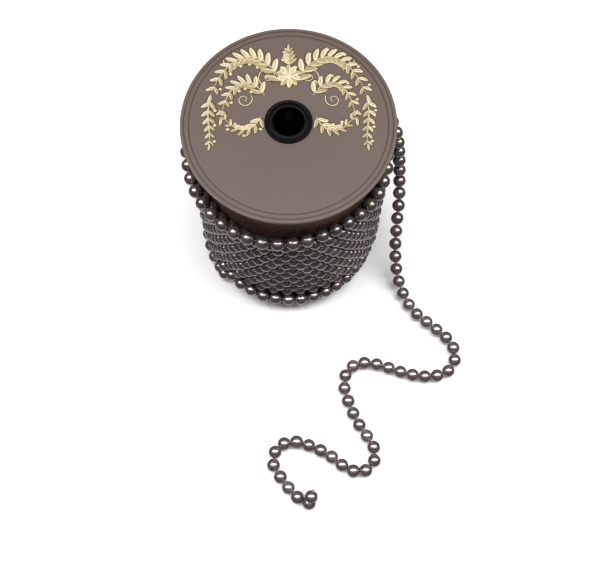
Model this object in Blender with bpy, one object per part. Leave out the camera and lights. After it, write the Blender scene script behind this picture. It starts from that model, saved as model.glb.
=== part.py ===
"""A pearl garland wound on a cardboard drum spool, with its loose end lying on the table.

Metres, +Z up. The origin is the middle of the spool's underside, -Y is the front.
The garland is a bead strand: it is wound as one helix round the core, leaves the top
turn at the right of the back, hangs down beside the winding and lies in a zigzag.
"""

import bmesh
import bpy
import numpy as np

# Driving dimensions of the bead strand
BEAD = 0.0082
BEAD_R = BEAD / 2
LEAD = 0.00765
WOUND_R = 0.0554
LOOSE_TURN_R = 0.0592
SIDE_TURN_R = 0.0575
BASE_TURN_R = 0.0602
FRONT_TOP_Z = 0.105

# Driving dimensions of the spool
SPOOL_H = 0.141
FLANGE_R = 0.0595
BASE_FLANGE_R = 0.0578
FLANGE_T = 0.002
CORE_R = 0.0512
CORE_WALL = 0.0025
GAP = 0.0003

# Driving dimensions of the black hub
HUB_BORE_R = 0.0085
HUB_TUBE_R = 0.0102
HUB_COLLAR_R = 0.0131
HUB_COLLAR_T = 0.0012
HUB_DEPTH = 0.014
HUB_BEVEL = 0.0004

# Steps round the winding and round the turned pieces
TURN_STEPS = 48
RING_STEPS = 48

# The strand's total angle in degrees, from the loose end's side down to the base
FIRST_DEG = 42.0
LAST_DEG = 4902.0
LOOSE_DEG = (235.0, 300.0)
SIDE_RISE_DEG = (303.0, 340.0)
SIDE_FALL_DEG = (352.0, 378.0)
BASE_RISE_DEG = (4520.0, 4575.0)
BASE_FALL_DEG = (4590.0, 4660.0)
TAIL_RISE_DEG = (4840.0, 4930.0)
FRONT_DEG = 270.0

# The loose end: its first stretch is level and tangent to the top turn
EXIT_GAP_DEG = 0.5
EXIT_RUN = 0.006
EXIT_DROP = 0.0004
CORD_STEP = 0.011

# Route of the loose end in millimetres, x, y and z of the strand's middle
ROUTE_MM = [
    (53.6, 29.4, 109.0),
    (59.0, 23.6, 105.0),
    (63.4, 18.8, 96.5),
    (65.9, 15.4, 86.0),
    (67.8, 12.2, 70.5),
    (69.3, 6.4, 55.5),
    (69.8, -3.6, 43.0),
    (69.0, -15.8, 32.0),
    (68.7, -28.6, 21.5),
    (70.4, -41.6, 11.6),
    (74.8, -54.0, 5.4),
    (81.2, -65.0, 4.2),
    (90.6, -73.8, 4.2),
    (102.6, -84.4, 4.2),
    (107.3, -94.8, 4.2),
    (103.2, -105.0, 4.2),
    (93.0, -109.3, 4.2),
    (78.6, -108.4, 4.2),
    (52.8, -100.9, 4.2),
    (43.4, -101.2, 4.2),
    (36.4, -107.2, 4.2),
    (34.8, -116.6, 4.2),
    (38.2, -128.6, 4.2),
    (43.4, -140.2, 4.2),
    (49.4, -149.4, 4.2),
    (53.3, -157.2, 4.2),
    (52.0, -165.8, 4.2),
    (44.6, -170.8, 4.2),
    (35.6, -168.4, 4.2),
    (25.4, -160.8, 4.2),
    (13.2, -154.6, 4.2),
    (0.6, -151.8, 4.2),
    (-8.2, -156.2, 4.2),
    (-10.6, -165.4, 4.2),
    (-5.6, -174.4, 4.2),
    (0.6, -182.2, 4.2),
    (8.4, -189.0, 4.2),
    (17.4, -190.6, 4.2),
]


def clear_scene():
    """Remove whatever the file holds."""
    for old in list(bpy.data.objects):
        bpy.data.objects.remove(old, do_unlink=True)


def material(name, colour, roughness, metallic=0.0):
    """A Principled material with the part's own colour."""
    made = bpy.data.materials.new(name)
    made.use_nodes = True
    shader = made.node_tree.nodes["Principled BSDF"]
    shader.inputs["Base Color"].default_value = (*colour, 1.0)
    shader.inputs["Roughness"].default_value = roughness
    shader.inputs["Metallic"].default_value = metallic
    return made


def smooth_step(low, high, value):
    """0 below low, 1 above high, and an eased rise between them."""
    share = np.clip((value - low) / (high - low), 0.0, 1.0)
    return share * share * (3 - 2 * share)


def strand_height(deg):
    """Height of the strand's middle: the helix falls by LEAD each turn."""
    return FRONT_TOP_Z - LEAD * (deg - FRONT_DEG) / 360.0


def strand_radius(deg):
    """Radius of the strand's middle: slack at the top turn, at its right side and at the front of the base."""
    slack_top = 1 - smooth_step(*LOOSE_DEG, deg)
    slack_side = smooth_step(*SIDE_RISE_DEG, deg) - smooth_step(*SIDE_FALL_DEG, deg)
    slack_base = smooth_step(*BASE_RISE_DEG, deg) - smooth_step(*BASE_FALL_DEG, deg) + smooth_step(*TAIL_RISE_DEG, deg)
    radius = WOUND_R + (LOOSE_TURN_R - WOUND_R) * slack_top + (SIDE_TURN_R - WOUND_R) * slack_side
    return radius + (BASE_TURN_R - WOUND_R) * slack_base


def polar(deg, radius, height):
    """Points at an angle, a radius and a height."""
    angle = np.radians(deg)
    return np.stack([radius * np.cos(angle), radius * np.sin(angle), height + 0 * angle], -1)


def add_object(name, mesh_object, look):
    """Link a new object with its material."""
    made = bpy.data.objects.new(name, mesh_object)
    mesh_object.materials.append(look)
    bpy.context.scene.collection.objects.link(made)
    return made


def turned(name, profile, look):
    """A ring: the closed (radius, height) profile, listed anticlockwise, spun about Z."""
    shape = bmesh.new()
    rounds = []
    for step in range(RING_STEPS):
        angle = 2 * np.pi * step / RING_STEPS
        rounds.append([shape.verts.new((r * np.cos(angle), r * np.sin(angle), z)) for r, z in profile])
    for step in range(RING_STEPS):
        here = rounds[step]
        there = rounds[(step + 1) % RING_STEPS]
        for k in range(len(profile)):
            m = (k + 1) % len(profile)
            shape.faces.new((here[k], there[k], there[m], here[m]))
    bmesh.ops.recalc_face_normals(shape, faces=shape.faces)
    mesh = bpy.data.meshes.new(name)
    shape.to_mesh(mesh)
    shape.free()
    mesh.shade_smooth()
    mesh.set_sharp_from_angle(angle=0.6)
    return add_object(name, mesh, look)


def flanges(look):
    """The two card discs that close the drum."""
    hole = HUB_TUBE_R + GAP
    top = [(hole, SPOOL_H - FLANGE_T), (FLANGE_R, SPOOL_H - FLANGE_T), (FLANGE_R, SPOOL_H), (hole, SPOOL_H)]
    base = [(HUB_BORE_R, 0.0), (BASE_FLANGE_R, 0.0), (BASE_FLANGE_R, FLANGE_T), (HUB_BORE_R, FLANGE_T)]
    turned("top_flange", top, look)
    turned("bottom_flange", base, look)


def core_tube(look):
    """The card tube between the two discs."""
    low = FLANGE_T + GAP
    high = SPOOL_H - FLANGE_T - GAP
    inner = CORE_R - CORE_WALL
    turned("core_tube", [(inner, low), (CORE_R, low), (CORE_R, high), (inner, high)], look)


def hub(look):
    """The black insert: a short tube through the top disc, under a rounded collar."""
    seat = SPOOL_H + GAP
    crown = seat + HUB_COLLAR_T
    low = SPOOL_H - HUB_DEPTH
    profile = [
        (HUB_BORE_R, low),
        (HUB_TUBE_R, low),
        (HUB_TUBE_R, seat),
        (HUB_COLLAR_R, seat),
        (HUB_COLLAR_R, crown - HUB_BEVEL),
        (HUB_COLLAR_R - HUB_BEVEL, crown),
        (HUB_BORE_R + HUB_BEVEL, crown),
        (HUB_BORE_R, crown - HUB_BEVEL),
    ]
    turned("hub", profile, look)


def winding(look):
    """One solid of all the turns: a ridge for each turn of the strand, swept down the helix.

    The outer skin is one strip of four points across, from the valley above a turn over
    its ridge. The strip's lower side is the upper side of the turn below it. A straight
    inner wall, a sloping top and base and two end faces close it.
    """
    steps = round((LAST_DEG - FIRST_DEG) * TURN_STEPS / 360.0)
    deg = FIRST_DEG + np.arange(steps + 1) * 360.0 / TURN_STEPS
    radius = strand_radius(deg)
    height = strand_height(deg)
    quarter = LEAD / 4
    rises = [2 * quarter, quarter, 0.0, -quarter]
    shape = bmesh.new()

    def column(index, out, up):
        return shape.verts.new(polar(deg[index], radius[index] + out, height[index] + up))

    skin = []
    for i in range(steps + 1):
        bulges = [np.sqrt(BEAD_R**2 - rise**2) for rise in rises]
        if i < TURN_STEPS:
            crown = [column(i, 0.1 * BEAD_R, 0.98 * BEAD_R)]
        else:
            crown = [column(i, bulges[0], rises[0])]
        skin.append(crown + [column(i, bulges[k], rises[k]) for k in (1, 2, 3)])

    inner_r = CORE_R + GAP + GAP / 2
    last_turn = steps - TURN_STEPS
    foot = {i: column(i, 0.2 * BEAD_R, -0.95 * BEAD_R) for i in range(last_turn + 1, steps + 1)}
    foot[last_turn] = skin[steps][0]
    lip = [shape.verts.new(polar(deg[i], inner_r, height[i] + 0.4 * BEAD_R)) for i in range(TURN_STEPS + 1)]
    sole = {
        i: shape.verts.new(polar(deg[i], inner_r, height[i] - 0.6 * BEAD_R)) for i in range(last_turn, steps + 1)
    }

    def below(index):
        under = index + TURN_STEPS
        return skin[under][0] if under <= steps else foot[index]

    for i in range(steps):
        for k in range(3):
            shape.faces.new((skin[i][k], skin[i][k + 1], skin[i + 1][k + 1], skin[i + 1][k]))
        shape.faces.new((skin[i][3], below(i), below(i + 1), skin[i + 1][3]))
    for i in range(TURN_STEPS):
        shape.faces.new((lip[i], skin[i][0], skin[i + 1][0], lip[i + 1]))
    for i in range(last_turn, steps):
        shape.faces.new((foot[i], sole[i], sole[i + 1], foot[i + 1]))

    # The inner wall has a face for each step round, with the steps in the helix let in
    base_shift = last_turn % TURN_STEPS
    for j in range(TURN_STEPS):
        base_j = last_turn + (j - base_shift) % TURN_STEPS
        left = [lip[j]]
        if j == 0:
            left.append(lip[TURN_STEPS])
        right = [lip[j + 1]]
        bottom = [sole[base_j], sole[base_j + 1]]
        if base_j + 1 == steps:
            bottom.append(sole[last_turn])
        shape.faces.new(left + bottom + right)

    shape.faces.new([lip[0]] + skin[0] + [skin[TURN_STEPS][0], lip[TURN_STEPS]])
    shape.faces.new([sole[last_turn]] + skin[steps] + [foot[steps], sole[steps]])
    bmesh.ops.recalc_face_normals(shape, faces=shape.faces)
    bmesh.ops.triangulate(shape, faces=[face for face in shape.faces if len(face.verts) > 4])
    mesh = bpy.data.meshes.new("winding")
    shape.to_mesh(mesh)
    shape.free()
    mesh.shade_smooth()
    mesh.set_sharp_from_angle(angle=0.9)
    return add_object("winding", mesh, look)


def route_points():
    """The loose end's own points in metres: the level stretch at the exit, then the route."""
    deg = FIRST_DEG - EXIT_GAP_DEG
    start = polar(np.array(deg), LOOSE_TURN_R, strand_height(deg))
    heading = np.array([np.sin(np.radians(deg)), -np.cos(np.radians(deg)), 0.0])
    second = start + heading * EXIT_RUN - np.array([0.0, 0.0, EXIT_DROP])
    return np.vstack([start, second, np.array(ROUTE_MM) / 1000.0])


def smooth_curve(points, step):
    """Centripetal Catmull-Rom curve through the points, read again at an even step."""
    ends = np.vstack([2 * points[0] - points[1], points, 2 * points[-1] - points[-2]])
    fine = []
    for p0, p1, p2, p3 in zip(ends[:-3], ends[1:-2], ends[2:-1], ends[3:]):
        t1 = np.linalg.norm(p1 - p0) ** 0.5
        t2 = t1 + np.linalg.norm(p2 - p1) ** 0.5
        t3 = t2 + np.linalg.norm(p3 - p2) ** 0.5
        t = np.linspace(t1, t2, 40, endpoint=False)[:, None]
        a1 = (t1 - t) / t1 * p0 + t / t1 * p1
        a2 = (t2 - t) / (t2 - t1) * p1 + (t - t1) / (t2 - t1) * p2
        a3 = (t3 - t) / (t3 - t2) * p2 + (t - t2) / (t3 - t2) * p3
        b1 = (t2 - t) / t2 * a1 + t / t2 * a2
        b2 = (t3 - t) / (t3 - t1) * a2 + (t - t1) / (t3 - t1) * a3
        fine.append((t2 - t) / (t2 - t1) * b1 + (t - t1) / (t2 - t1) * b2)
    fine = np.vstack([*fine, points[-1:]])
    run = np.concatenate([[0.0], np.cumsum(np.linalg.norm(np.diff(fine, axis=0), axis=1))])
    count = int(round(run[-1] / step))
    places = np.linspace(0.0, run[-1], count + 1)
    return np.stack([np.interp(places, run, fine[:, axis]) for axis in range(3)], -1)


def loose_end(look):
    """The strand's free end as one plain tube of the beads' diameter."""
    points = smooth_curve(route_points(), CORD_STEP)
    curve = bpy.data.curves.new("loose_end", "CURVE")
    curve.dimensions = "3D"
    curve.bevel_depth = BEAD_R
    curve.bevel_resolution = 2
    curve.use_fill_caps = True
    spline = curve.splines.new("POLY")
    spline.points.add(len(points) - 1)
    spline.points.foreach_set("co", np.hstack([points, np.ones((len(points), 1))]).ravel())
    return add_object("loose_end", curve, look)


def build():
    """All the pieces of the garland and its spool."""
    clear_scene()
    printed_card = material("printed_card", (0.24, 0.20, 0.165), 0.6)
    brown_card = material("brown_card", (0.055, 0.035, 0.022), 0.75)
    black_plastic = material("black_plastic", (0.012, 0.013, 0.015), 0.4)
    pearl = material("pearl_lacquer", (0.24, 0.21, 0.20), 0.28, 0.6)
    flanges(printed_card)
    core_tube(brown_card)
    hub(black_plastic)
    winding(pearl)
    loose_end(pearl)


build()
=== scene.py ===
"""Looks of a pearl garland wound on a card drum spool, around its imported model.

Every piece is a surface worked out with numpy in metres, in the model's own frame:
+Z up, the origin under the middle of the spool, -Y towards the camera.
"""

import bpy
import numpy as np
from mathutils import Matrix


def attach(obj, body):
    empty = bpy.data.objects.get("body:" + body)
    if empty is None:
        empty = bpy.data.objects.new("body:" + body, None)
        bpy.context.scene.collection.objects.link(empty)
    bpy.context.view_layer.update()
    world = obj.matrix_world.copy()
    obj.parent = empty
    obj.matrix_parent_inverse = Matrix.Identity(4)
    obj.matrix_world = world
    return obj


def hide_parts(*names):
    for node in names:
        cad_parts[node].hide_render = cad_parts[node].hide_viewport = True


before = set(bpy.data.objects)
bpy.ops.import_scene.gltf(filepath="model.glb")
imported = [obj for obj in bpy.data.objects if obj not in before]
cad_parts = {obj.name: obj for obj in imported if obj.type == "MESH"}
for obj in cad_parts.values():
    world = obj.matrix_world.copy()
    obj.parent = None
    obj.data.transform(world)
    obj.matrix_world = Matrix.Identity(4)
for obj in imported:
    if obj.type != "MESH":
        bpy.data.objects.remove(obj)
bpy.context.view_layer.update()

# The bead strand, as in the model
BEAD_R = 0.0041
LEAD = 0.00765
WOUND_R = 0.0554
LOOSE_TURN_R = 0.0592
SIDE_TURN_R = 0.0575
BASE_TURN_R = 0.0602
FRONT_TOP_Z = 0.105
FIRST_DEG = 42.0
LAST_DEG = 4902.0
LOOSE_DEG = (235.0, 300.0)
SIDE_RISE_DEG = (303.0, 340.0)
SIDE_FALL_DEG = (352.0, 378.0)
BASE_RISE_DEG = (4520.0, 4575.0)
BASE_FALL_DEG = (4590.0, 4660.0)
TAIL_RISE_DEG = (4840.0, 4930.0)
FRONT_DEG = 270.0
BEADS_PER_TURN = 41.5
FIRST_BEAD_RUN = 0.0064
SLACK_STRETCH = 0.02
TOP_TURN_RUN = 0.33
THREAD_R = 0.00045

# How unevenly the wound beads lie: each bead's own shift, and slow waves of the rows and the slack turn
BEAD_SHIFT = 0.00012
BEAD_SHIFT_DEG = 0.10
ROW_WAVE = 0.00015
SLACK_WAVE = 0.00045

# Where the loose beads sit: the first one, the step where they touch, and what is added elsewhere
LOOSE_BEAD_RUN = 0.002
TOUCHING_STEP = 0.00798
SPARE_STEP = 0.00075

# The spool, as in the model
SPOOL_H = 0.141
FLANGE_R = 0.0595
BASE_FLANGE_R = 0.0578
FLANGE_T = 0.002
CORE_R = 0.0512
CORE_WALL = 0.0025
HUB_BORE_R = 0.0085
HUB_TUBE_R = 0.0102
HUB_COLLAR_R = 0.0131
HUB_COLLAR_T = 0.0012
HUB_DEPTH = 0.014
GAP = 0.0003
RING_SHARES = (0.918, 0.965)
RING_HALF_WIDTH = 0.00021

# The loose end, as in the model: a level stretch at the exit, then the route in millimetres
EXIT_GAP_DEG = 0.5
EXIT_RUN = 0.006
EXIT_DROP = 0.0004
ROUTE_MM = [
    (53.6, 29.4, 109.0),
    (59.0, 23.6, 105.0),
    (63.4, 18.8, 96.5),
    (65.9, 15.4, 86.0),
    (67.8, 12.2, 70.5),
    (69.3, 6.4, 55.5),
    (69.8, -3.6, 43.0),
    (69.0, -15.8, 32.0),
    (68.7, -28.6, 21.5),
    (70.4, -41.6, 11.6),
    (74.8, -54.0, 5.4),
    (81.2, -65.0, 4.2),
    (90.6, -73.8, 4.2),
    (102.6, -84.4, 4.2),
    (107.3, -94.8, 4.2),
    (103.2, -105.0, 4.2),
    (93.0, -109.3, 4.2),
    (78.6, -108.4, 4.2),
    (52.8, -100.9, 4.2),
    (43.4, -101.2, 4.2),
    (36.4, -107.2, 4.2),
    (34.8, -116.6, 4.2),
    (38.2, -128.6, 4.2),
    (43.4, -140.2, 4.2),
    (49.4, -149.4, 4.2),
    (53.3, -157.2, 4.2),
    (52.0, -165.8, 4.2),
    (44.6, -170.8, 4.2),
    (35.6, -168.4, 4.2),
    (25.4, -160.8, 4.2),
    (13.2, -154.6, 4.2),
    (0.6, -151.8, 4.2),
    (-8.2, -156.2, 4.2),
    (-10.6, -165.4, 4.2),
    (-5.6, -174.4, 4.2),
    (0.6, -182.2, 4.2),
    (8.4, -189.0, 4.2),
    (17.4, -190.6, 4.2),
]

# The strand's very end in millimetres: its last bead lies against the one before, tip towards the spool
END_BEAD_MM = (13.1, -186.8, 10.7)
END_TIP_MM = (14.9, -181.7, 8.9)
TIP_R = 0.0033

# The camera: 57 mm lens, looking down at 71.55 degrees from the front
CAMERA_AT = (0.00625, -0.25216, 0.6039)
CAMERA_TILT_DEG = 90.0 - 71.55
CAMERA_LENS = 57.0

rng = np.random.default_rng(7)


def smooth_step(low, high, value):
    """0 below low, 1 above high, s*s*(3-2s) between, with s the share of the way."""
    share = np.clip((value - low) / (high - low), 0.0, 1.0)
    return share * share * (3 - 2 * share)


def strand_height(deg):
    """Height of the strand's middle: the helix falls by LEAD each turn."""
    return FRONT_TOP_Z - LEAD * (deg - FRONT_DEG) / 360.0


def strand_radius(deg):
    """Radius of the strand's middle: slack at the top turn, at its right side and at the base's front."""
    slack_top = 1 - smooth_step(*LOOSE_DEG, deg)
    slack_side = smooth_step(*SIDE_RISE_DEG, deg) - smooth_step(*SIDE_FALL_DEG, deg)
    slack_base = smooth_step(*BASE_RISE_DEG, deg) - smooth_step(*BASE_FALL_DEG, deg)
    slack_base = slack_base + smooth_step(*TAIL_RISE_DEG, deg)
    radius = WOUND_R + (LOOSE_TURN_R - WOUND_R) * slack_top + (SIDE_TURN_R - WOUND_R) * slack_side
    return radius + (BASE_TURN_R - WOUND_R) * slack_base


def polar(deg, radius, height):
    """Points at an angle, a radius and a height: (r cos a, r sin a, z)."""
    angle = np.radians(deg)
    return np.stack([radius * np.cos(angle), radius * np.sin(angle), height + 0 * angle], -1)


def unit(vectors):
    """Vectors divided by their own length."""
    return vectors / np.linalg.norm(vectors, axis=-1, keepdims=True)


# Meshes from arrays


def grid_faces(rows, columns, close_rows=False):
    """Quads of a rows x columns grid of points, closed round its columns, and round its rows if asked."""
    last = rows if close_rows else rows - 1
    i, j = np.meshgrid(np.arange(last), np.arange(columns), indexing="ij")
    k = (i + 1) % rows
    m = (j + 1) % columns
    return np.stack([i * columns + j, i * columns + m, k * columns + m, k * columns + j], -1).reshape(-1, 4)


def piece_from(name, parts, looks):
    """One mesh of several parts: each part is points, quads, triangles, a look's number and point values."""
    points, sizes, corners, looks_of, values = [], [], [], [], {}
    start = 0
    for part in parts:
        count = len(part["points"])
        points.append(part["points"])
        for faces in (part.get("quads"), part.get("triangles")):
            if faces is not None and len(faces):
                sizes.append(np.full(len(faces), faces.shape[1]))
                corners.append((faces + start).ravel())
                looks_of.append(np.full(len(faces), part.get("look", 0)))
        for key, value in part.get("values", {}).items():
            values.setdefault(key, []).append(np.broadcast_to(value, (count,)))
        start += count
    points = np.vstack(points)
    sizes = np.concatenate(sizes)
    corners = np.concatenate(corners)
    mesh = bpy.data.meshes.new(name)
    mesh.vertices.add(len(points))
    mesh.vertices.foreach_set("co", points.ravel())
    mesh.loops.add(len(corners))
    mesh.loops.foreach_set("vertex_index", corners)
    mesh.polygons.add(len(sizes))
    mesh.polygons.foreach_set("loop_start", np.concatenate([[0], np.cumsum(sizes)[:-1]]))
    mesh.polygons.foreach_set("loop_total", sizes)
    mesh.polygons.foreach_set("material_index", np.concatenate(looks_of))
    for key, value in values.items():
        mesh.attributes.new(key, "FLOAT", "POINT").data.foreach_set("value", np.concatenate(value))
    mesh.update(calc_edges=True)
    mesh.validate()
    mesh.shade_smooth()
    for look in looks:
        mesh.materials.append(look)
    made = bpy.data.objects.new(name, mesh)
    bpy.context.scene.collection.objects.link(made)
    return made


def fit_out(piece, slot, *nodes):
    """The piece rides on the root body and stands for the nodes; the slot is not used."""
    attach(piece, "root")
    if nodes:
        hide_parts(*nodes)
    return piece


def rounded_section(inner, outer, low, high, soft, corner_steps=5):
    """Closed (radius, height) outline of a flat ring's section: a rectangle with quarter-round corners."""
    turn = np.linspace(0, np.pi / 2, corner_steps)
    corners = [(outer - soft, low + soft, -90), (outer - soft, high - soft, 0)]
    corners += [(inner + soft, high - soft, 90), (inner + soft, low + soft, 180)]
    arcs = []
    for r, z, first in corners:
        angle = turn + np.radians(first)
        arcs.append(np.stack([r + soft * np.cos(angle), z + soft * np.sin(angle)], -1))
    return np.vstack(arcs)


def lathe(section, steps):
    """A ring: the section's point (r, z) goes to (r cos a, r sin a, z) at each of the steps round."""
    angle = np.arange(steps) * 2 * np.pi / steps
    r = section[None, :, 0]
    z = section[None, :, 1] + 0 * angle[:, None]
    points = np.stack([r * np.cos(angle)[:, None], r * np.sin(angle)[:, None], z], -1)
    quads = grid_faces(steps, len(section), close_rows=True)
    return {"points": points.reshape(-1, 3), "quads": quads[:, ::-1][:, [3, 0, 1, 2]]}


def frames_along(points, up=(0.0, 0.0, 1.0)):
    """Heading, side and rise at each point of a path: side is heading x up, rise is side x heading."""
    heading = unit(np.gradient(points, axis=0))
    side = unit(np.cross(heading, np.array(up)))
    return heading, side, np.cross(side, heading)


def tube(points, radius, sides, flatten=1.0, look=0, values=None):
    """A closed tube: point + radius (cos a side + flatten sin a rise), each end a fan round its middle."""
    heading, side, rise = frames_along(points)
    angle = np.arange(sides) * 2 * np.pi / sides
    radius = np.broadcast_to(radius, (len(points),))[:, None, None]
    cosine = np.cos(angle)[None, :, None]
    sine = np.sin(angle)[None, :, None]
    ring = cosine * side[:, None, :] + flatten * sine * rise[:, None, :]
    skin = (points[:, None, :] + radius * ring).reshape(-1, 3)
    rows = len(points)
    first, last = rows * sides, rows * sides + 1
    j = np.arange(sides)
    m = (j + 1) % sides
    base = (rows - 1) * sides
    near = np.stack([m, j, np.full(sides, first)], -1)
    far = np.stack([base + j, base + m, np.full(sides, last)], -1)
    fans = np.concatenate([near, far])
    return {
        "points": np.vstack([skin, points[:1], points[-1:]]),
        "quads": grid_faces(rows, sides)[:, ::-1],
        "triangles": fans[:, ::-1],
        "look": look,
        "values": values or {},
    }


def beads(centres, headings, sizes, tints, look=0, around=12, along=6):
    """A ball for each centre: centre + size (cos v heading + sin v (cos u side + sin u rise)).

    The poles lie on the thread, drawn in a little where the hole is. All the balls are one array.
    """
    u = np.arange(around) * 2 * np.pi / around
    v = np.linspace(0, np.pi, along + 1)[1:-1]
    shell = np.stack(
        [
            np.broadcast_to(np.cos(v)[:, None], (along - 1, around)),
            np.sin(v)[:, None] * np.cos(u)[None, :],
            np.sin(v)[:, None] * np.sin(u)[None, :],
        ],
        -1,
    ).reshape(-1, 3)
    shell = np.vstack([shell, [[0.95, 0, 0], [-0.95, 0, 0]]])
    spin = rng.uniform(0, 2 * np.pi, len(centres))
    side = unit(np.cross(headings, [0.12, 0.08, 0.99]))
    rise = np.cross(side, headings)
    side, rise = (
        np.cos(spin)[:, None] * side + np.sin(spin)[:, None] * rise,
        np.cos(spin)[:, None] * rise - np.sin(spin)[:, None] * side,
    )
    axes = np.stack([headings, side, rise], 1)
    points = centres[:, None, :] + sizes[:, None, None] * np.einsum("pk,nkc->npc", shell, axes)
    quads = grid_faces(along - 1, around)
    j = np.arange(around)
    m = (j + 1) % around
    base = (along - 2) * around
    pole = (along - 1) * around
    front = np.stack([m, j, 0 * j + pole], -1)
    back = np.stack([base + j, base + m, 0 * j + pole + 1], -1)
    fans = np.concatenate([front, back])
    offset = (np.arange(len(centres)) * len(shell))[:, None, None]
    return {
        "points": points.reshape(-1, 3),
        "quads": (quads[None] + offset).reshape(-1, 4),
        "triangles": (fans[None] + offset).reshape(-1, 3),
        "look": look,
        "values": {"tint": np.repeat(tints, len(shell))},
    }


# Materials


def add_node(tree, kind, settings=None, **inputs):
    """A node with its settings, and its inputs as sockets or values, by name or as n0, n1 and so on."""
    made = tree.nodes.new(kind)
    for key, value in (settings or {}).items():
        setattr(made, key, value)
    for key, value in inputs.items():
        place = int(key[1:]) if key[0] == "n" and key[1:].isdigit() else key.replace("_", " ")
        if isinstance(value, bpy.types.NodeSocket):
            tree.links.new(value, made.inputs[place])
        else:
            made.inputs[place].default_value = value
    return made


def maths(tree, operation, *inputs):
    """A Math node's result."""
    made = add_node(tree, "ShaderNodeMath", {"operation": operation})
    for place, value in enumerate(inputs):
        if isinstance(value, bpy.types.NodeSocket):
            tree.links.new(value, made.inputs[place])
        else:
            made.inputs[place].default_value = value
    return made.outputs[0]


def ramp(tree, factor, stops):
    """A colour ramp through the (place, colour) stops."""
    made = add_node(tree, "ShaderNodeValToRGB", n0=factor)
    bar = made.color_ramp.elements
    while len(bar) < len(stops):
        bar.new(0.5)
    for element, (place, colour) in zip(bar, stops):
        element.position = place
        element.color = (*colour, 1.0)
    return made.outputs["Color"]


def mix(tree, factor, first, second):
    """A colour between first and second."""
    made = add_node(tree, "ShaderNodeMix", {"data_type": "RGBA"})
    for place, value in ((0, factor), (6, first), (7, second)):
        if isinstance(value, bpy.types.NodeSocket):
            tree.links.new(value, made.inputs[place])
        elif place == 0:
            made.inputs[place].default_value = value
        else:
            made.inputs[place].default_value = (*value, 1.0)
    return made.outputs[2]


def noise(tree, coordinate, scale, detail=2.0):
    """A noise between 0 and 1 on the coordinate."""
    return add_node(tree, "ShaderNodeTexNoise", Vector=coordinate, Scale=scale, Detail=detail).outputs["Fac"]


def stretched(tree, coordinate, scale):
    """The coordinate times a scale on each axis."""
    made = add_node(tree, "ShaderNodeVectorMath", {"operation": "MULTIPLY"}, n0=coordinate, n1=scale)
    return made.outputs[0]


def new_look(name):
    """A material with its tree, its shader and its Object coordinates."""
    look = bpy.data.materials.new(name)
    look.use_nodes = True
    tree = look.node_tree
    shader = tree.nodes["Principled BSDF"]
    place = add_node(tree, "ShaderNodeTexCoord").outputs["Object"]
    return look, tree, shader, place


def bump(tree, shader, height, strength, distance):
    """Raises the shader's normal by the height."""
    made = add_node(tree, "ShaderNodeBump", Height=height, Strength=strength, Distance=distance)
    tree.links.new(made.outputs["Normal"], shader.inputs["Normal"])


def pearl_lacquer():
    """Taupe pearl lacquer: fine mica gives a cloudy sheen, in each bead's own tint, under a clear coat."""
    look, tree, shader, place = new_look("pearl_lacquer")
    tint = add_node(tree, "ShaderNodeAttribute", {"attribute_name": "tint"}).outputs["Fac"]
    own = ramp(
        tree,
        tint,
        [
            (0.0, (0.330, 0.306, 0.262)),
            (0.25, (0.335, 0.295, 0.282)),
            (0.6, (0.365, 0.318, 0.312)),
            (1.0, (0.460, 0.400, 0.395)),
        ],
    )
    cloud = noise(tree, place, 420.0, 3.0)
    coloured = mix(tree, maths(tree, "MULTIPLY", cloud, 0.35), own, (0.253, 0.207, 0.202))
    tree.links.new(coloured, shader.inputs["Base Color"])
    rough = add_node(tree, "ShaderNodeMapRange", n0=cloud, n3=0.20, n4=0.28).outputs[0]
    tree.links.new(rough, shader.inputs["Roughness"])
    shader.inputs["Metallic"].default_value = 0.8
    shader.inputs["Specular Tint"].default_value = (0.55, 0.55, 0.55, 1.0)
    shader.inputs["Coat Weight"].default_value = 0.3
    shader.inputs["Coat Roughness"].default_value = 0.12
    bump(tree, shader, noise(tree, place, 900.0, 2.0), 0.06, 0.0003)
    return look


def strand_thread():
    """Grey braided thread."""
    look, tree, shader, place = new_look("strand_thread")
    fibre = noise(tree, place, 3000.0, 2.0)
    grey = ramp(tree, fibre, [(0.3, (0.10, 0.09, 0.09)), (0.7, (0.22, 0.20, 0.20))])
    tree.links.new(grey, shader.inputs["Base Color"])
    shader.inputs["Roughness"].default_value = 0.7
    bump(tree, shader, fibre, 0.5, 0.0002)
    return look


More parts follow.
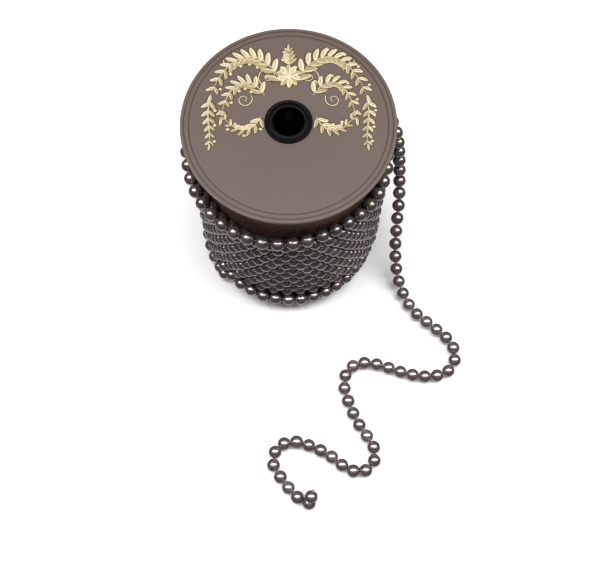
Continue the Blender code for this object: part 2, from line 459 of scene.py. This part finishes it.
def printed_paper():
    """Taupe paper on card: thin brown border rings on the face, and a paler cut edge."""
    look, tree, shader, place = new_look("printed_paper")
    flat = stretched(tree, place, (1.0, 1.0, 0.0))
    radius = add_node(tree, "ShaderNodeVectorMath", {"operation": "LENGTH"}, n0=flat).outputs["Value"]
    mottle = noise(tree, place, 90.0, 4.0)
    fibre = noise(tree, place, 1800.0, 3.0)
    paper = mix(tree, maths(tree, "MULTIPLY", mottle, 0.5), (0.103, 0.078, 0.066), (0.090, 0.068, 0.057))
    paper = mix(tree, maths(tree, "MULTIPLY", fibre, 0.22), paper, (0.128, 0.100, 0.086))
    for share in RING_SHARES:
        away = maths(tree, "ABSOLUTE", maths(tree, "SUBTRACT", radius, share * FLANGE_R))
        line = add_node(
            tree,
            "ShaderNodeMapRange",
            {"interpolation_type": "SMOOTHSTEP"},
            n0=away,
            n1=RING_HALF_WIDTH,
            n2=2.2 * RING_HALF_WIDTH,
            n3=0.95,
            n4=0.0,
        ).outputs[0]
        paper = mix(tree, line, paper, (0.045, 0.027, 0.018))
    rim = {"n1": FLANGE_R - 0.0005, "n2": FLANGE_R - 0.0001}
    edge = add_node(tree, "ShaderNodeMapRange", n0=radius, **rim).outputs[0]
    layers = noise(tree, stretched(tree, place, (60.0, 60.0, 4000.0)), 1.0)
    raw = ramp(tree, layers, [(0.3, (0.12, 0.09, 0.065)), (0.7, (0.22, 0.175, 0.14))])
    tree.links.new(mix(tree, edge, paper, raw), shader.inputs["Base Color"])
    shader.inputs["Roughness"].default_value = 0.62
    shader.inputs["Specular IOR Level"].default_value = 0.35
    bump(tree, shader, fibre, 0.12, 0.0001)
    return look


def brown_card():
    """Dark brown wound card: a butt seam runs round the tube in a steep spiral."""
    look, tree, shader, place = new_look("brown_card")
    axes = add_node(tree, "ShaderNodeSeparateXYZ", Vector=place)
    around = maths(tree, "DIVIDE", maths(tree, "ARCTAN2", axes.outputs[1], axes.outputs[0]), 2 * np.pi)
    spiral = maths(tree, "FRACT", maths(tree, "ADD", maths(tree, "DIVIDE", axes.outputs[2], 0.085), around))
    away = maths(tree, "ABSOLUTE", maths(tree, "SUBTRACT", spiral, 0.5))
    seam = add_node(tree, "ShaderNodeMapRange", n0=away, n1=0.002, n2=0.006, n3=1.0, n4=0.0).outputs[0]
    fibre = noise(tree, place, 700.0, 5.0)
    card = ramp(tree, fibre, [(0.25, (0.072, 0.034, 0.018)), (0.75, (0.150, 0.080, 0.046))])
    tree.links.new(mix(tree, seam, card, (0.034, 0.018, 0.010)), shader.inputs["Base Color"])
    shader.inputs["Roughness"].default_value = 0.72
    bump(tree, shader, maths(tree, "SUBTRACT", fibre, seam), 0.25, 0.0003)
    return look


def black_plastic():
    """Black moulded plastic with a fine satin grain."""
    look, tree, shader, place = new_look("black_plastic")
    grain = noise(tree, place, 1500.0, 3.0)
    black = ramp(tree, grain, [(0.2, (0.0016, 0.0016, 0.0020)), (0.8, (0.0040, 0.0040, 0.0050))])
    tree.links.new(black, shader.inputs["Base Color"])
    rough = add_node(tree, "ShaderNodeMapRange", n0=grain, n3=0.42, n4=0.58).outputs[0]
    tree.links.new(rough, shader.inputs["Roughness"])
    shader.inputs["Specular IOR Level"].default_value = 0.12
    bump(tree, shader, grain, 0.15, 0.0001)
    return look


def printed_ink():
    """Printed ornament: brown lines, gold shade and cream lights, by each stroke's own value."""
    look, tree, shader, place = new_look("printed_ink")
    ink = add_node(tree, "ShaderNodeAttribute", {"attribute_name": "ink"}).outputs["Fac"]
    grain = maths(tree, "MULTIPLY", maths(tree, "SUBTRACT", noise(tree, place, 1400.0, 2.0), 0.5), 0.25)
    value = maths(tree, "ADD", ink, grain)
    stops = [
        (0.0, (0.046, 0.032, 0.016)),
        (0.3, (0.15, 0.115, 0.056)),
        (0.6, (0.34, 0.275, 0.150)),
        (0.9, (0.52, 0.465, 0.32)),
    ]
    tree.links.new(ramp(tree, value, stops), shader.inputs["Base Color"])
    shader.inputs["Roughness"].default_value = 0.55
    return look


# The spool's pieces


def card_discs(look):
    """Both card discs, each a flat ring with softly rounded edges."""
    soft = 0.0002
    face = rounded_section(HUB_TUBE_R + GAP, FLANGE_R, SPOOL_H - FLANGE_T, SPOOL_H, soft)
    fit_out(piece_from("printed_disc", [lathe(face, 192)], [look]), "printed_card", "top_flange")
    base = rounded_section(HUB_BORE_R, BASE_FLANGE_R, 0.0, FLANGE_T, soft)
    fit_out(piece_from("base_disc", [lathe(base, 192)], [look]), "printed_card", "bottom_flange")


def card_tube(look):
    """The core tube: a thin tall ring."""
    section = rounded_section(CORE_R - CORE_WALL, CORE_R, FLANGE_T + GAP, SPOOL_H - FLANGE_T - GAP, 0.0003, 3)
    fit_out(piece_from("card_tube", [lathe(section, 160)], [look]), "brown_card", "core_tube")


def plastic_hub(look):
    """The hub: a tube with a flat collar, its lip rolled over into the bore."""
    seat = SPOOL_H + GAP
    crown = seat + HUB_COLLAR_T
    turn = np.linspace(0, np.pi / 2, 5)
    rim = 0.00055
    outer = np.stack([HUB_COLLAR_R - rim + rim * np.cos(turn), crown - rim + rim * np.sin(turn)], -1)
    lip = 0.0008
    inner = np.stack([HUB_BORE_R + lip - lip * np.sin(turn), crown - lip + lip * np.cos(turn)], -1)
    groove = [(0.0117, crown), (0.0116, crown - 0.00018), (0.0113, crown - 0.00018), (0.0112, crown)]
    low = SPOOL_H - HUB_DEPTH
    wall = [(HUB_BORE_R, low), (HUB_TUBE_R, low), (HUB_TUBE_R, seat), (HUB_COLLAR_R, seat)]
    section = np.vstack([wall, outer, groove, inner])
    fit_out(piece_from("plastic_hub", [lathe(section, 96)], [look]), "black_plastic", "hub")


# The bead strand


def bead_tints(count):
    """A tint for each bead: mostly taupe, with a few greenish and a few pale ones."""
    tints = np.clip(rng.normal(0.5, 0.16, count), 0.0, 1.0)
    odd = rng.uniform(0, 1, count)
    tints = np.where(odd < 0.05, 0.02, tints)
    return np.where(odd > 0.95, 0.95, tints)


def wound_garland(pearl, thread):
    """All the wound turns: beads at even steps of the strand's own length, the sum of radius times angle.

    A tight turn holds a whole number of beads and a half, so each row sits half a bead off the next.
    The slack top turn is stretched a little.
    """
    pitch = 2 * np.pi * WOUND_R / BEADS_PER_TURN
    fine = np.arange(FIRST_DEG, LAST_DEG, 0.25)
    run = np.cumsum(np.radians(0.25) * strand_radius(fine))
    places = np.arange(FIRST_BEAD_RUN, run[-1], pitch)
    places = places + SLACK_STRETCH * np.minimum(places, TOP_TURN_RUN)
    deg = np.interp(places, run, fine)
    count = len(deg)
    slack = 1 - smooth_step(330.0, 420.0, deg)
    wobble = SLACK_WAVE * np.sin(np.radians(deg) * 5.0 + 1.0) * slack
    lift = rng.normal(0, BEAD_SHIFT, count) + wobble + ROW_WAVE * np.sin(np.radians(deg) * 2.63)
    out = rng.normal(0, BEAD_SHIFT, count) + 0.0002 * slack * np.sin(np.radians(deg) * 7.0)
    turned = deg + rng.normal(0, BEAD_SHIFT_DEG, count)
    centres = polar(turned, strand_radius(deg) + out, strand_height(deg) + lift)
    headings = unit(np.gradient(centres, axis=0))
    sizes = BEAD_R * rng.normal(1.0, 0.008, count)
    strung = beads(centres, headings, sizes, bead_tints(count))
    fine = np.linspace(0, count - 1, 2 * count - 1)
    line = np.stack([np.interp(fine, np.arange(count), centres[:, axis]) for axis in range(3)], -1)
    cord = tube(line, THREAD_R, 5, look=1, values={"tint": 0.5})
    fit_out(piece_from("wound_garland", [strung, cord], [pearl, thread]), "pearl", "winding")


def route_points():
    """The loose end's own points in metres: the level stretch at the exit, then the route."""
    deg = FIRST_DEG - EXIT_GAP_DEG
    start = polar(np.array(deg), LOOSE_TURN_R, strand_height(deg))
    heading = np.array([np.sin(np.radians(deg)), -np.cos(np.radians(deg)), 0.0])
    second = start + heading * EXIT_RUN - np.array([0.0, 0.0, EXIT_DROP])
    return np.vstack([start, second, np.array(ROUTE_MM) / 1000.0])


def smooth_curve(points, step):
    """Centripetal Catmull-Rom curve through the points, read again at an even step."""
    ends = np.vstack([2 * points[0] - points[1], points, 2 * points[-1] - points[-2]])
    fine = []
    for p0, p1, p2, p3 in zip(ends[:-3], ends[1:-2], ends[2:-1], ends[3:]):
        t1 = np.linalg.norm(p1 - p0) ** 0.5
        t2 = t1 + np.linalg.norm(p2 - p1) ** 0.5
        t3 = t2 + np.linalg.norm(p3 - p2) ** 0.5
        t = np.linspace(t1, t2, 40, endpoint=False)[:, None]
        a1 = (t1 - t) / t1 * p0 + t / t1 * p1
        a2 = (t2 - t) / (t2 - t1) * p1 + (t - t1) / (t2 - t1) * p2
        a3 = (t3 - t) / (t3 - t2) * p2 + (t - t2) / (t3 - t2) * p3
        b1 = (t2 - t) / t2 * a1 + t / t2 * a2
        b2 = (t3 - t) / (t3 - t1) * a2 + (t - t1) / (t3 - t1) * a3
        fine.append((t2 - t) / (t2 - t1) * b1 + (t - t1) / (t2 - t1) * b2)
    fine = np.vstack([*fine, points[-1:]])
    run = np.concatenate([[0.0], np.cumsum(np.linalg.norm(np.diff(fine, axis=0), axis=1))])
    count = int(round(run[-1] / step))
    places = np.linspace(0.0, run[-1], count + 1)
    return np.stack([np.interp(places, run, fine[:, axis]) for axis in range(3)], -1)


def loose_garland(pearl, thread):
    """The loose end: beads strung along the route.

    They touch where it runs sideways, and stand up to 0.75 mm apart elsewhere.
    """
    path = smooth_curve(route_points(), 0.001)
    run = np.concatenate([[0.0], np.cumsum(np.linalg.norm(np.diff(path, axis=0), axis=1))])
    heading = unit(np.gradient(path, axis=0))
    places = [LOOSE_BEAD_RUN]
    while places[-1] < run[-1] - 1.6 * BEAD_R:
        sideways = np.interp(places[-1], run, np.abs(heading[:, 0]))
        places.append(places[-1] + TOUCHING_STEP + SPARE_STEP * (1 - sideways))
    places = np.array(places)
    centres = np.stack([np.interp(places, run, path[:, axis]) for axis in range(3)], -1)
    headings = unit(np.stack([np.interp(places, run, heading[:, axis]) for axis in range(3)], -1))
    sizes = BEAD_R * rng.normal(1.0, 0.012, len(places))
    strung = beads(centres, headings, sizes, bead_tints(len(places)), around=16, along=8)
    cord = tube(path[::4], THREAD_R, 5, look=1, values={"tint": 0.5})
    piece = fit_out(piece_from("loose_garland", [strung, cord], [pearl, thread]), "pearl", "loose_end")
    return piece, path, float(run[-1])


def strand_end(pearl, thread, path):
    """The last bead, turned up against the one before it, with its moulded tip and the thread into it.

    The tip's radius is TIP_R (1-s)^1.3 at share s of the way from inside the bead to its point.
    """
    centre = np.array(END_BEAD_MM) / 1000.0
    point = np.array(END_TIP_MM) / 1000.0
    ahead = unit(point - centre)
    ball = beads(centre[None], ahead[None], np.array([BEAD_R]), np.array([0.45]), around=16, along=8)
    s = np.linspace(0, 1, 12)
    reach = np.linalg.norm(point - centre)
    line = centre + ahead * (0.6 * BEAD_R + (reach - 0.6 * BEAD_R) * s)[:, None]
    tip = tube(line, TIP_R * (1 - s) ** 1.3 + 0.00008, 12, values={"tint": 0.4})
    joint = tube(np.linspace(path[-6], centre, 8), THREAD_R, 5, look=1, values={"tint": 0.5})
    return fit_out(piece_from("strand_end", [ball, tip, joint], [pearl, thread]), "pearl")


# The printed ornament: laurel sprays with berries round a small rosette


def stroke(route, width, ink, height, steps=9):
    """A flat printed stroke along a curve through the route's points in millimetres.

    Its half width is width * sin(pi s)^0.6 at share s of its length.
    """
    line = smooth_plane(np.array(route, float), steps) / 1000.0
    s = np.linspace(0, 1, len(line))
    half = width / 1000.0 * np.clip(np.sin(np.pi * np.clip(s, 0.02, 0.98)), 0, 1) ** 0.6
    points = np.column_stack([line, np.full(len(line), SPOOL_H + height)])
    flat = tube(points, half, 8, flatten=0.03 / max(width, 0.1) * 0.6)
    angle = np.arange(8) * 2 * np.pi / 8
    shade = ink + 0.22 * np.cos(angle)[None, :] * np.ones((len(line), 1)) - 0.15 * (s[:, None] - 0.3)
    flat["values"] = {"ink": np.concatenate([shade.ravel(), [ink, ink]])}
    return flat


def smooth_plane(points, steps):
    """A quadratic or cubic Bezier curve through its control points in the plane."""
    s = np.linspace(0, 1, steps)[:, None]
    rest = 1 - s
    if len(points) == 3:
        return rest**2 * points[0] + 2 * s * rest * points[1] + s**2 * points[2]
    start = rest**3 * points[0] + 3 * s * rest**2 * points[1]
    return start + 3 * s**2 * rest * points[2] + s**3 * points[3]


def leaf(at, angle, length, width, ink):
    """A leaf from a point: a brown outline, a pale blade over it and a midrib."""
    ahead = np.array([np.cos(angle), np.sin(angle)])
    across = np.array([-ahead[1], ahead[0]])
    tip = at + length * ahead
    middle = at + 0.5 * length * ahead + 0.12 * length * across
    rim = 0.35
    return [
        stroke([at - rim * ahead, middle, tip + rim * ahead], width + rim, 0.08, 0.00003),
        stroke([at, middle, tip], width, ink, 0.00005),
        stroke([at + 0.1 * length * ahead, middle, at + 0.8 * length * ahead], 0.14, 0.1, 0.00007, 6),
    ]


def berry(at, size, ink):
    """A round berry: a brown ring under a pale dot."""
    parts = []
    dots = ((size + 0.3, 0.08, 0.00003), (size, ink, 0.00005), (0.35 * size, 0.95, 0.00007))
    for radius, value, height in dots:
        middle = at + [0.0, 0.25 * size] if radius < size else at
        parts.append(stroke([middle - [radius, 0], middle, middle + [radius, 0]], radius, value, height))
    return parts


def spray(controls, pairs, size, side):
    """A spray: a curved stem with leaves in pairs and berries between them, mirrored for the other side."""
    controls = np.array(controls, float) * [side, 1.0]
    parts = [stroke(controls, 1.0, 0.06, 0.00002, 24), stroke(controls, 0.66, 0.62, 0.00004, 24)]
    line = smooth_plane(controls, 200)
    heading = unit(np.gradient(line, axis=0))
    for k in range(pairs):
        share = 0.06 + 0.88 * k / (pairs - 1)
        at = line[int(share * 199)]
        angle = np.arctan2(*heading[int(share * 199)][::-1])
        length = size * (1.0 - 0.45 * share)
        for turn in (0.75, -0.75):
            ink = 0.86 if turn * side > 0 else 0.62
            parts += leaf(at, angle + turn, length, 0.22 * length, ink)
        if k % 2:
            normal = np.array([-heading[int(share * 199)][1], heading[int(share * 199)][0]])
            parts += berry(at + normal * (0.55 * length + 0.8), 0.95, 0.75)
    parts += leaf(line[-1], np.arctan2(*heading[-1][::-1]), size * 0.7, 0.12 * size, 0.85)
    return parts


def tendril(centre, radius, turns, start, side):
    """A curling line: radius shrinks evenly as the angle grows, r = radius (1 - 0.85 s)."""
    s = np.linspace(0, 1, 40)
    angle = start + turns * 2 * np.pi * s
    reach = radius * (1 - 0.85 * s)
    across = side * (centre[0] + reach * np.cos(angle))
    line = np.stack([across, centre[1] + reach * np.sin(angle)], -1) / 1000.0
    parts = []
    for width, ink, height in ((0.00062, 0.06, 0.00002), (0.00036, 0.8, 0.00004)):
        points = np.column_stack([line, np.full(len(line), SPOOL_H + height)])
        flat = tube(points, width * (1 - 0.5 * s), 6, flatten=0.05)
        flat["values"] = {"ink": np.full(len(flat["points"]), ink)}
        parts.append(flat)
    return parts


def rosette(at, petals, size):
    """A rosette: petals as short leaves round a berry."""
    parts = []
    for k in range(petals):
        angle = np.pi / 2 + 2 * np.pi * k / petals
        start = at + 1.0 * np.array([np.cos(angle), np.sin(angle)])
        parts += leaf(start, angle, size, 0.27 * size, 0.9 if k % 2 else 0.7)
    return parts + berry(at, 1.7, 0.8)


def printed_ornament(look):
    """The ornament on the upper disc: two arching sprays, two hanging ones, tendrils and the rosette."""
    parts = []
    for side in (1, -1):
        parts += spray([(3, 22), (14, 50), (34, 46), (43, 17)], 12, 9.2, side)
        parts += spray([(13, 16), (22, 32), (34, 26), (37, 3)], 9, 7.4, side)
        parts += spray([(43, 14), (46, 4), (42, -4), (43, -13)], 6, 6.0, side)
        parts += spray([(15, 4), (19, -7), (29, -8), (36, 4)], 7, 6.2, side)
        parts += tendril((11.5, 28.5), 6.0, 1.4, -1.2, side)
        parts += tendril((24.5, 14.0), 4.6, 1.3, 2.6, side)
        parts += tendril((33.0, 37.5), 3.6, -1.2, 0.4, side)
    parts += rosette(np.array([0.0, 29.0]), 10, 6.6)
    parts += spray([(0, 36), (0.4, 39), (0.2, 42), (0, 45)], 4, 6.0, 1)
    fit_out(piece_from("printed_ornament", parts, [look]), "printed_card")


# Floor, light and camera


def floor():
    """A plain pale floor, a little under the spool's resting face."""
    reach = 1.6
    corners = np.array([(-1, -1, 0), (1, -1, 0), (1, 1, 0), (-1, 1, 0)], float) * reach - [0, 0, 0.00005]
    look, tree, shader, place = new_look("pale_floor")
    shade = ramp(tree, noise(tree, place, 3.0), [(0.3, (0.86, 0.86, 0.86)), (0.7, (0.89, 0.89, 0.89))])
    tree.links.new(shade, shader.inputs["Base Color"])
    shader.inputs["Roughness"].default_value = 0.9
    table = piece_from("floor", [{"points": corners, "quads": np.array([[0, 1, 2, 3]])}], [look])
    table.visible_glossy = False


def soft_light(name, at, size, power):
    """A rectangular soft light that faces straight down."""
    lamp = bpy.data.lights.new(name, "AREA")
    lamp.shape = "RECTANGLE"
    lamp.size, lamp.size_y = size
    lamp.energy = power
    made = bpy.data.objects.new(name, lamp)
    made.location = at
    bpy.context.scene.collection.objects.link(made)


def light_and_camera():
    """One wide soft light overhead, a large faint one over the table, a dim room, and the camera.

    The room is pale only straight below, as the pearls mirror the near table and no far one.
    """
    soft_light("overhead_strip", (0.1, 0.05, 1.6), (4.2, 0.75), 62.0)
    soft_light("ceiling_glow", (0.0, 0.0, 4.5), (6.0, 6.0), 62.0)
    world = bpy.data.worlds.new("room")
    bpy.context.scene.world = world
    world.use_nodes = True
    sky = world.node_tree
    aim = add_node(sky, "ShaderNodeTexCoord").outputs["Generated"]
    height = add_node(sky, "ShaderNodeSeparateXYZ", Vector=aim).outputs[2]
    share = add_node(sky, "ShaderNodeMapRange", n0=height, n1=-1.0, n2=1.0).outputs[0]
    shades = [(0.08, (1.0, 1.0, 1.0)), (0.20, (0.025, 0.025, 0.025)), (0.5, (0.06, 0.06, 0.06))]
    sky.links.new(ramp(sky, share, shades), sky.nodes["Background"].inputs[0])
    view = bpy.data.cameras.new("camera")
    view.lens = CAMERA_LENS
    view.sensor_width = 36.0
    view.clip_start = 0.01
    made = bpy.data.objects.new("camera", view)
    made.location = CAMERA_AT
    made.rotation_euler = (np.radians(CAMERA_TILT_DEG), 0.0, 0.0)
    bpy.context.scene.collection.objects.link(made)
    bpy.context.scene.camera = made
    bpy.context.scene.view_settings.view_transform = "Standard"
    bpy.context.scene.view_settings.look = "Medium High Contrast"


light_and_camera()
floor()
pearl = pearl_lacquer()
thread = strand_thread()
loose, loose_path, loose_length = loose_garland(pearl, thread)
tail = strand_end(pearl, thread, loose_path)
wound_garland(pearl, thread)
card_discs(printed_paper())
card_tube(brown_card())
plastic_hub(black_plastic())
printed_ornament(printed_ink())
